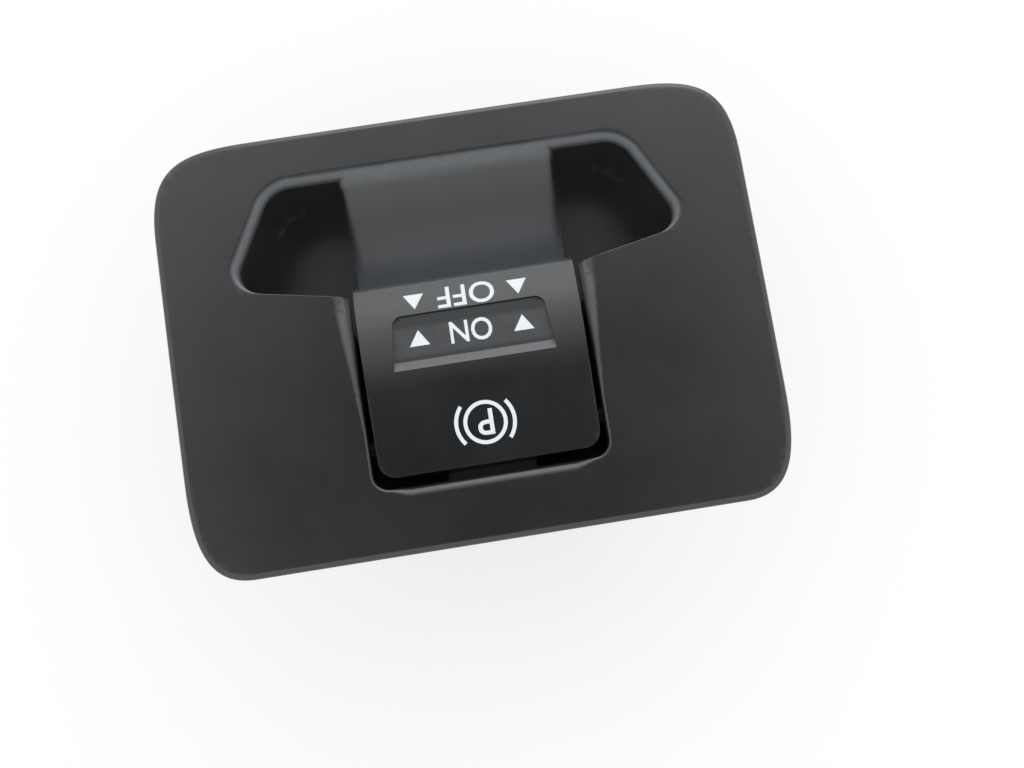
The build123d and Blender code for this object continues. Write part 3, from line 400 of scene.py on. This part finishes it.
def paintHighlights(material, highlightColour):
    # lays the painted highlight over the material's colour, where the mesh's own attribute values say
    tree = material.node_tree
    shader = tree.nodes["Principled BSDF"]
    highlightAmount = tree.nodes.new("ShaderNodeAttribute")
    highlightAmount.attribute_name = "paintedHighlights"
    values = {
        "Colour": shader.inputs["Base Color"].links[0].from_socket,
        "Highlight Colour": highlightColour,
        "Highlight Amount": highlightAmount.outputs["Fac"],
        "Patch Scale": paintedHighlights["patchScale"],
    }
    highlightNode = placeGroup(tree, highlightPaint, values)
    tree.links.new(highlightNode.outputs["Colour"], shader.inputs["Base Color"])


# painted light on the ramp's low end, and painted highlights on the bezel's and the paddle's rims
paintRampLightAndMatt(finishes["bezel_plastic"])
paintHighlights(finishes["bezel_plastic"], paintedHighlights["colour"])
paintHighlights(finishes["paddle_plastic"], paintedHighlights["paddleColour"])

slotOf = {entry["node"]: entry["material_slot"] for entry in frame["record"]["subparts"]}
bodyOf = {
    node: body for body, nodes in frame["record"]["behaviour"]["bodies"].items() for node in nodes
}
ownFinish = {   # the pin is blacked, unlike the other steel
    "pivot_pin": metal("blackedPin", (0.035, 0.035, 0.037), (0.02, 0.018, 0.016), 0.42),
}
for node, obj in frame["nodes"].items():
    obj.data.materials.clear()
    obj.data.materials.append(ownFinish.get(node, finishes[slotOf[node]]))
print("finishes given to", len(frame["nodes"]), "solids")


# refined copies of the solids

meshing = {
    "weld": 0.002 * mm,
    "flatWithin": 0.6,      # degrees between faces that are made one
    "breakOver": 32.0,      # degrees between faces whose edge a mould breaks
    "sharpOver": 40.0,      # degrees between faces whose edge is still shaded sharp
    "cutWithin": 1e-7,
}


def mergedCopy(node):
    # the solid's triangles joined up, with its flat faces made whole
    bm = bmesh.new()
    bm.from_mesh(frame["nodes"][node].data)
    bmesh.ops.remove_doubles(bm, verts=bm.verts, dist=meshing["weld"])
    bmesh.ops.dissolve_degenerate(bm, dist=meshing["weld"], edges=bm.edges)
    bmesh.ops.dissolve_limit(
        bm, angle_limit=radians(meshing["flatWithin"]), use_dissolve_boundaries=False,
        verts=bm.verts, edges=bm.edges,
    )
    return bm


def softenEdges(bm, width, segments, breakOver=meshing["breakOver"], wanted=lambda edge: True):
    # breaks the sharp edges that are wanted, as a mould does
    sharp = [
        edge for edge in bm.edges
        if len(edge.link_faces) == 2 and edge.calc_face_angle(0.0) > radians(breakOver) and wanted(edge)
    ]
    bmesh.ops.bevel(
        bm, geom=sharp, offset=width, offset_type="OFFSET", segments=segments, profile=0.5,
        affect="EDGES", clamp_overlap=True, material=-1, loop_slide=True,
    )


def spacedCuts(low, high, cell):
    count = max(1, round((high - low) / cell))
    return [low + (high - low) * step / count for step in range(1, count)]


def cutGrid(bm, cell):
    # cuts a mesh across X and across Y, so that it can bend
    for axis, normal in enumerate((Vector((1, 0, 0)), Vector((0, 1, 0)))):
        places = [vert.co[axis] for vert in bm.verts]
        for place in spacedCuts(min(places), max(places), cell):
            bmesh.ops.bisect_plane(
                bm, geom=bm.verts[:] + bm.edges[:] + bm.faces[:], dist=meshing["cutWithin"],
                plane_co=normal * place, plane_no=normal,
            )


def finishPiece(bm, name, node, sharpOver=meshing["sharpOver"]):
    # turns the mesh into a piece that stands for its solid
    mesh = bpy.data.meshes.new(name)
    bmesh.ops.triangulate(bm, faces=[face for face in bm.faces if len(face.verts) > 4])
    bm.to_mesh(mesh)
    bm.free()
    for polygon in mesh.polygons:
        polygon.use_smooth = True
    mesh.set_sharp_from_angle(angle=radians(sharpOver))
    mesh.materials.append(finishes[slotOf[node]])
    piece = addObject(name, mesh)
    evenNormals = piece.modifiers.new("evenNormals", "WEIGHTED_NORMAL")
    evenNormals.keep_sharp = True
    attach(piece, bodyOf[node])
    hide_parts(node)
    return piece


# bezel: its plate crowned, its edges broken

bezelLook = {
    "cell": 1.5 * mm,       # spacing of the cuts that let the plate bend
    "crown": 0.7 * mm,      # how far the face falls to its corners
    "edgeBreak": 0.14 * mm,
    "segments": 2,
    "slotHalf": 16.4 * mm,
    "browSpan": (-10.5 * mm, -4.0 * mm),
    "browClear": 1.0 * mm,  # how far along the brow the painted highlight of the slot's side goes on
    "browEnd": 29.0 * mm,
}


def onBrow(edge):
    # the brow over the well keeps its crisp edge
    middle = (edge.verts[0].co + edge.verts[1].co) / 2
    front, back = bezelLook["browSpan"]
    return abs(middle.x) > bezelLook["slotHalf"] and front < middle.y < back


def slopeShare(face, start, full):
    # 0 for a flat face or a wall, 1 for a rim's round
    tilt = degrees(face.normal.angle(Vector((0, 0, 1)), 0.0))
    return 0.0 if tilt > paintedHighlights["steepest"] else clamped((tilt - start) / (full - start))


def meanSlope(vert, start, full):
    return sum(slopeShare(face, start, full) for face in vert.link_faces) / max(1, len(vert.link_faces))


def markRimHighlights(bm, low, high):
    # writes each point's painted highlight by how far it lies on a rim, fading along the slot, leaving out
    # the ramp, the brow and the plate's own rim
    highlightLayer = bm.verts.layers.float.new("paintedHighlights")
    bm.normal_update()
    front, back = bezelLook["browSpan"]
    browStart = bezelLook["slotHalf"] + bezelLook["browClear"]
    for vert in bm.verts:
        x, y, z = vert.co
        onRamp = abs(x) < paintedRampLight["halfWidth"] and paintedRampLight["front"] < y < paintedRampLight["back"]
        nearRim = min(x - low[0], high[0] - x, y - low[1], high[1] - y) < paintedHighlights["inside"]
        byBrow = browStart < abs(x) < bezelLook["browEnd"] and front < y < back
        if z > high[2] - paintedHighlights["depth"] and not (nearRim or onRamp or byBrow):
            fade = clamped(1 - (y - paintedHighlights["fadeFrom"]) / paintedHighlights["fadeOver"])
            vert[highlightLayer] = meanSlope(vert, *paintedHighlights["tilt"]) * fade


def buildBezel():
    bm = mergedCopy("bezel")
    softenEdges(bm, bezelLook["edgeBreak"], bezelLook["segments"], wanted=lambda edge: not onBrow(edge))
    cutGrid(bm, bezelLook["cell"])
    low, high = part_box("bezel")
    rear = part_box("bezel_seal")[1][2]
    for vert in bm.verts:
        # the crown dies away down the plate's thickness
        lift = clamped((vert.co.z - rear) / (high[2] - rear))
        share = 0.5 * ((vert.co.x / high[0]) ** 2 + (vert.co.y / high[1]) ** 2)
        vert.co.z -= bezelLook["crown"] * share * lift * lift * (3 - 2 * lift)
    markRimHighlights(bm, low, high)
    return finishPiece(bm, "bezel_shell", "bezel")


bezelShell = buildBezel()
print("bezel:", len(bezelShell.data.polygons), "faces")


# paddle: the moulded key, its face rolled evenly down to the lip

paddleLook = {
    "edgeBreak": 0.30 * mm,
    "segments": 3,
    "lipBreak": 0.10 * mm,      # the lip's own edge is crisper
    "lipSegments": 2,
    "lipFrom": -7.3 * mm,
    "breakOver": 30.0,
    "sharpOver": 50.0,
    "cell": 0.7 * mm,
    "rollStart": 8.4 * mm,      # where the flat of the face ends
    "rollRadius": 37.74 * mm,
    "rollEnd": -6.9 * mm,
    "reach": 0.08 * mm,         # how near the roll a point lies to be laid on it
    "noseFrom": -6.5 * mm,      # where the painted highlight on the lip begins
    "ledgeSpan": (3.9 * mm, 5.7 * mm),
    "ledgeHalf": 11.4 * mm,
    "highlightTilt": (24.5, 40.0),
    "panelFoot": -2.4 * mm,
    "panelDeep": 0.6 * mm,      # how far below the roll the sunk panel's floor lies at least
    "panelShare": 0.42,         # its painted light
}


def onLip(edge):
    return (edge.verts[0].co.y + edge.verts[1].co.y) / 2 < paddleLook["lipFrom"]


def rollHeight(y, top):
    # the height of the rolled face at a distance along the paddle
    run = max(0.0, paddleLook["rollStart"] - y)
    return top - paddleLook["rollRadius"] + (paddleLook["rollRadius"] ** 2 - run ** 2) ** 0.5


def markPaddleLight(bm, top):
    # writes painted highlights on the lip's nose and the sunk panel's ledge, and painted light on the
    # panel's floor
    highlightLayer = bm.verts.layers.float.new("paintedHighlights")
    bm.normal_update()
    ledgeLow, ledgeHigh = paddleLook["ledgeSpan"]
    for vert in bm.verts:
        x, y, z = vert.co
        overPanel = abs(x) < paddleLook["ledgeHalf"]
        if y < paddleLook["noseFrom"] or (overPanel and ledgeLow < y < ledgeHigh):
            vert[highlightLayer] = meanSlope(vert, *paddleLook["highlightTilt"])
        elif overPanel and paddleLook["panelFoot"] < y < ledgeLow:
            if z < rollHeight(y, top) - paddleLook["panelDeep"]:
                vert[highlightLayer] = paddleLook["panelShare"]


def buildPaddle():
    bm = mergedCopy("paddle")
    breakOver = paddleLook["breakOver"]
    softenEdges(bm, paddleLook["edgeBreak"], paddleLook["segments"], breakOver, lambda edge: not onLip(edge))
    softenEdges(bm, paddleLook["lipBreak"], paddleLook["lipSegments"], breakOver, onLip)
    cutGrid(bm, paddleLook["cell"])
    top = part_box("paddle")[1][2]
    for vert in bm.verts:
        if paddleLook["rollEnd"] < vert.co.y < paddleLook["rollStart"]:
            rolled = rollHeight(vert.co.y, top)
            if abs(vert.co.z - rolled) < paddleLook["reach"]:
                vert.co.z = rolled
    markPaddleLight(bm, top)
    return finishPiece(bm, "paddle_key", "paddle", paddleLook["sharpOver"])


paddleKey = buildPaddle()
print("paddle:", len(paddleKey.data.polygons), "faces")


# the other moulded and metal pieces, with their edges broken

edgeBreaks = {      # each solid's piece, the width of the break and its segments
    "switch_housing": ("housing_case", 0.30 * mm, 3),
    "rear_cover": ("rear_lid", 0.22 * mm, 2),
    "connector_header": ("socket_shell", 0.16 * mm, 2),
    "paddle_carrier": ("carrier_rocker", 0.15 * mm, 2),
    "clip_left": ("spring_clip_left", 0.10 * mm, 2),
    "clip_right": ("spring_clip_right", 0.10 * mm, 2),
    "bezel_seal": ("foam_seal", 0.30 * mm, 3),
    "cover_screws": ("cover_screw_set", 0.12 * mm, 2),
    "bezel_screws": ("bezel_screw_set", 0.12 * mm, 2),
}
for node, (name, width, segments) in edgeBreaks.items():
    bm = mergedCopy(node)
    softenEdges(bm, width, segments)
    finishPiece(bm, name, node)
print("edges broken on", len(edgeBreaks), "more pieces")


# return springs: the coils, each with a mesh of its own

coilKeep = {        # each solid's piece, and the share of its length left at the longer travel
    "push_return_springs": ("push_coils", 0.78),
    "pull_return_spring": ("pull_coil", 0.75),
}
for node, (name, keep) in coilKeep.items():
    coil = finishPiece(mergedCopy(node), name, node)
    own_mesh(coil)


# printing: the parking brake sign, and ON and OFF between plain arrows

printLook = {
    "ink": (0.62, 0.63, 0.64),
    "inkRough": 0.5,
    "proud": 0.018 * mm,
    "signY": 14.3 * mm,
    "ringRadius": 3.06 * mm,
    "ringSteps": 64,
    "stroke": 0.54 * mm,
    "bracketRadius": 4.05 * mm,
    "bracketReach": 40.0,       # degrees each way
    "bracketSteps": 24,
    "letterHeight": 3.6 * mm,
    "letterWidth": 2.25 * mm,
    "wordCapHeight": 3.3 * mm,
    "wordHalf": {"ON": 3.0 * mm, "OFF": 4.1 * mm},
    "wordY": {"ON": 1.0 * mm, "OFF": -4.35 * mm},
    "arrowX": 7.4 * mm,
    "arrowHalf": 1.45 * mm,
    "arrowHeight": 2.3 * mm,
    "weight": 0.012,            # how much fatter than its font the lettering is
    "curveSteps": 4,
    "cell": 0.25 * mm,          # small enough to follow the roll
    "arcWeld": 0.001 * mm,
    "cellWeld": 0.0005 * mm,
    "dropFrom": 10.0 * mm,
}
inkMaterial = plastic(
    "whiteInk", printLook["ink"], printLook["inkRough"], bumpDepth=0.002 * mm, variation=0.1
)


def arcBand(radius, width, fromAngle, toAngle, steps):
    # a flat band bent round the origin
    bm = bmesh.new()
    ends = [
        bm.verts.new((reach * cos(fromAngle), reach * sin(fromAngle), 0))
        for reach in (radius - width / 2, radius + width / 2)
    ]
    bmesh.ops.spin(
        bm, geom=[*ends, bm.edges.new(ends)], cent=(0, 0, 0), axis=(0, 0, 1), angle=toAngle - fromAngle,
        steps=steps, use_merge=toAngle - fromAngle >= 2 * pi,
    )
    bmesh.ops.remove_doubles(bm, verts=bm.verts, dist=printLook["arcWeld"])
    return bm


def flatText(words, capHeight, halfWidth, centreY):
    # words laid flat to a given height and half width, read from the paddle's lip end
    curve = bpy.data.curves.new("words", "FONT")
    curve.body = words
    curve.align_x = "CENTER"
    curve.align_y = "CENTER"
    curve.offset = printLook["weight"]
    curve.resolution_u = printLook["curveSteps"]
    holder = addObject("words", curve)
    bpy.context.view_layer.update()
    mesh = bpy.data.meshes.new_from_object(holder.evaluated_get(bpy.context.evaluated_depsgraph_get()))
    bpy.data.objects.remove(holder)
    bm = bmesh.new()
    bm.from_mesh(mesh)
    bpy.data.meshes.remove(mesh)
    xs = [vert.co.x for vert in bm.verts]
    ys = [vert.co.y for vert in bm.verts]
    midX = (max(xs) + min(xs)) / 2
    midY = (max(ys) + min(ys)) / 2
    wide = 2 * halfWidth / (max(xs) - min(xs))
    tall = capHeight / (max(ys) - min(ys))
    for vert in bm.verts:
        vert.co.x = (vert.co.x - midX) * wide
        vert.co.y = centreY + (vert.co.y - midY) * tall
    return bm


def arrowHead(centreX, centreY, pointing):
    # a plain triangle, pointing up or down as the words are read
    bm = bmesh.new()
    rise = pointing * printLook["arrowHeight"] / 2
    tip = bm.verts.new((centreX, centreY + rise, 0))
    feet = [
        bm.verts.new((centreX + side * printLook["arrowHalf"], centreY - rise, 0)) for side in (-1, 1)
    ]
    bm.faces.new((tip, *feet))
    return bm


def dropOnPaddle(bm):
    # cuts flat artwork into small cells, lays it on the paddle's face and gives it thickness
    cutGrid(bm, printLook["cell"])
    bmesh.ops.remove_doubles(bm, verts=bm.verts, dist=printLook["cellWeld"])
    skin = BVHTree.FromObject(paddleKey, bpy.context.evaluated_depsgraph_get())
    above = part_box("bezel")[1][2] + printLook["dropFrom"]
    for vert in bm.verts:
        hit = skin.ray_cast(Vector((vert.co.x, vert.co.y, above)), Vector((0, 0, -1)))
        vert.co.z = hit[0].z + printLook["proud"]
    bmesh.ops.recalc_face_normals(bm, faces=bm.faces)
    if sum(face.normal.z for face in bm.faces) < 0:
        bmesh.ops.reverse_faces(bm, faces=bm.faces)
    raised = bmesh.ops.extrude_face_region(bm, geom=bm.faces[:])
    for item in raised["geom"]:
        if isinstance(item, bmesh.types.BMVert):
            item.co.z += printLook["proud"]
    bmesh.ops.recalc_face_normals(bm, faces=bm.faces)
    return bm


def makePrint(bm, name):
    mesh = bpy.data.meshes.new(name)
    bm.to_mesh(mesh)
    bm.free()
    mesh.materials.append(inkMaterial)
    piece = addObject(name, mesh)
    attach(piece, "paddle")


ringMiddle = printLook["ringRadius"] - printLook["stroke"] / 2
reach = radians(printLook["bracketReach"])
bands = {
    "sign_ring": (ringMiddle, 0.0, 2 * pi, printLook["ringSteps"]),
    "sign_bracket_right": (printLook["bracketRadius"], -reach, reach, printLook["bracketSteps"]),
    "sign_bracket_left": (printLook["bracketRadius"], pi - reach, pi + reach, printLook["bracketSteps"]),
}
printParts = {}
for name, (radius, fromAngle, toAngle, steps) in bands.items():
    printParts[name] = arcBand(radius, printLook["stroke"], fromAngle, toAngle, steps)
    bmesh.ops.translate(printParts[name], verts=printParts[name].verts, vec=(0, printLook["signY"], 0))
printParts["sign_letter"] = flatText(
    "P", printLook["letterHeight"], printLook["letterWidth"] / 2, printLook["signY"]
)
for word, pointing in (("ON", -1), ("OFF", 1)):
    wordY = printLook["wordY"][word]
    wordHalf = printLook["wordHalf"][word]
    printParts["word_" + word.lower()] = flatText(word, printLook["wordCapHeight"], wordHalf, wordY)
    for label, side in (("right", 1), ("left", -1)):
        arrow = arrowHead(side * printLook["arrowX"], wordY, pointing)
        printParts["arrow_" + word.lower() + "_" + label] = arrow
for name, bm in printParts.items():
    makePrint(dropOnPaddle(bm), name)
print("printing laid on the paddle")


# floor, light and camera

studio = {
    "floorColour": (0.89, 0.89, 0.89),
    "floorRough": 0.9,
    "floorSpecular": 0.1,
    "floorHalf": 3.0,
    "white": 0.94,          # what the camera sees of the background
    "whiteShare": 0.72,     # the rest of the floor's look is the light and shadow on it
    "sky": (                # angle from overhead in degrees, brightness
        (9.5, 0.02),
        (15.0, 0.13),
        (24.0, 1.20),
        (36.0, 1.60),
        (48.0, 1.75),
        (62.0, 1.15),
        (75.0, 1.20),
        (90.0, 1.50),
        (180.0, 0.70),
    ),
    "tint": (0.94, 0.98, 1.0),
    "brightSide": 0.02,
    "lampPlace": (-0.14, -0.60, 0.30),
    "lampSize": 0.6,
    "lampPower": 1.9,
}


def buildFloor():
    # mostly plain white where it is looked at or mirrored, and a matt floor to all other light
    bm = bmesh.new()
    bmesh.ops.create_grid(bm, x_segments=1, y_segments=1, size=studio["floorHalf"])
    mesh = bpy.data.meshes.new("floor")
    bm.to_mesh(mesh)
    bm.free()
    floor = addObject("floor", mesh)
    material = bpy.data.materials.new("paleFloor")
    material.use_nodes = True
    tree = material.node_tree
    shader = tree.nodes["Principled BSDF"]
    shader.inputs["Base Color"].default_value = (*studio["floorColour"], 1.0)
    shader.inputs["Roughness"].default_value = studio["floorRough"]
    shader.inputs["Specular IOR Level"].default_value = studio["floorSpecular"]
    glow = tree.nodes.new("ShaderNodeEmission")
    glow.inputs["Strength"].default_value = studio["white"]
    path = tree.nodes.new("ShaderNodeLightPath")
    seen = addMath(tree, "ADD", path.outputs["Is Camera Ray"], path.outputs["Is Glossy Ray"])
    seen = addMath(tree, "ADD", seen, path.outputs["Is Transmission Ray"], clamp=True)
    mix = tree.nodes.new("ShaderNodeMixShader")
    tree.links.new(addMath(tree, "MULTIPLY", seen, studio["whiteShare"]), mix.inputs[0])
    tree.links.new(shader.outputs[0], mix.inputs[1])
    tree.links.new(glow.outputs[0], mix.inputs[2])
    tree.links.new(mix.outputs[0], tree.nodes["Material Output"].inputs["Surface"])
    mesh.materials.append(material)


def buildSky():
    # a soft room, dim right overhead where the picture is taken from
    world = bpy.data.worlds.new("softRoom")
    bpy.context.scene.world = world
    world.use_nodes = True
    tree = world.node_tree
    background = tree.nodes["Background"]
    direction = tree.nodes.new("ShaderNodeTexCoord").outputs["Generated"]
    split = tree.nodes.new("ShaderNodeSeparateXYZ")
    tree.links.new(direction, split.inputs[0])
    height = addMath(tree, "MULTIPLY", addMath(tree, "ADD", split.outputs["Z"], 1.0), 0.5)
    ramp = tree.nodes.new("ShaderNodeValToRGB")
    stops = [((1 + cos(radians(angle))) / 2, level) for angle, level in reversed(studio["sky"])]
    while len(ramp.color_ramp.elements) < len(stops):
        ramp.color_ramp.elements.new(0.5)
    for element, (place, level) in zip(ramp.color_ramp.elements, stops):
        element.position = place
        element.color = (level, level, level, 1.0)
    tree.links.new(height, ramp.inputs["Fac"])
    lean = addMath(tree, "MULTIPLY", split.outputs["Y"], studio["brightSide"])
    level = addMath(tree, "MULTIPLY", ramp.outputs["Color"], addMath(tree, "SUBTRACT", 1.0, lean))
    seen = tree.nodes.new("ShaderNodeLightPath").outputs["Is Camera Ray"]
    tree.links.new(mixColours(tree, seen, studio["tint"], (1.0, 1.0, 1.0)), background.inputs["Color"])
    room = addMath(tree, "MULTIPLY", level, addMath(tree, "SUBTRACT", 1.0, seen))
    backdrop = addMath(tree, "MULTIPLY", seen, studio["white"])
    tree.links.new(addMath(tree, "ADD", room, backdrop), background.inputs["Strength"])


def buildLamp():
    light = bpy.data.lights.new("sideWindow", "AREA")
    light.shape = "SQUARE"
    light.size = studio["lampSize"]
    light.energy = studio["lampPower"]
    place = Vector(studio["lampPlace"])
    turn = (-place).to_track_quat("-Z", "Y").to_matrix().to_4x4()
    lamp = addObject("sideWindow", light)
    lamp.matrix_world = Matrix.Translation(place) @ turn


view = {
    "place": (0.62 * mm, 29.03 * mm, 184.42 * mm),
    "aim": (-4.44 * mm, 9.58 * mm, 33.0 * mm),
    "upTurn": -99.04,       # degrees from +X to the picture's upward direction
    "pixelsWide": 1024,
    "focalPixels": 1100.0,
    "sensor": 36.0,
    "clipStart": 0.005,
}


def buildCamera():
    data = bpy.data.cameras.new("camera")
    data.sensor_width = view["sensor"]
    data.lens = view["focalPixels"] / view["pixelsWide"] * view["sensor"]
    data.clip_start = view["clipStart"]
    place = Vector(view["place"])
    forward = (Vector(view["aim"]) - place).normalized()
    turn = radians(view["upTurn"])
    right = forward.cross(Vector((cos(turn), sin(turn), 0))).normalized()
    up = right.cross(forward)
    basis = Matrix((right, up, -forward)).transposed().to_4x4()
    camera = addObject("camera", data)
    camera.matrix_world = Matrix.Translation(place) @ basis
    bpy.context.scene.camera = camera


buildFloor()
buildSky()
buildLamp()
buildCamera()
bpy.context.scene.view_settings.view_transform = "Standard"
print("floor, light and camera set")
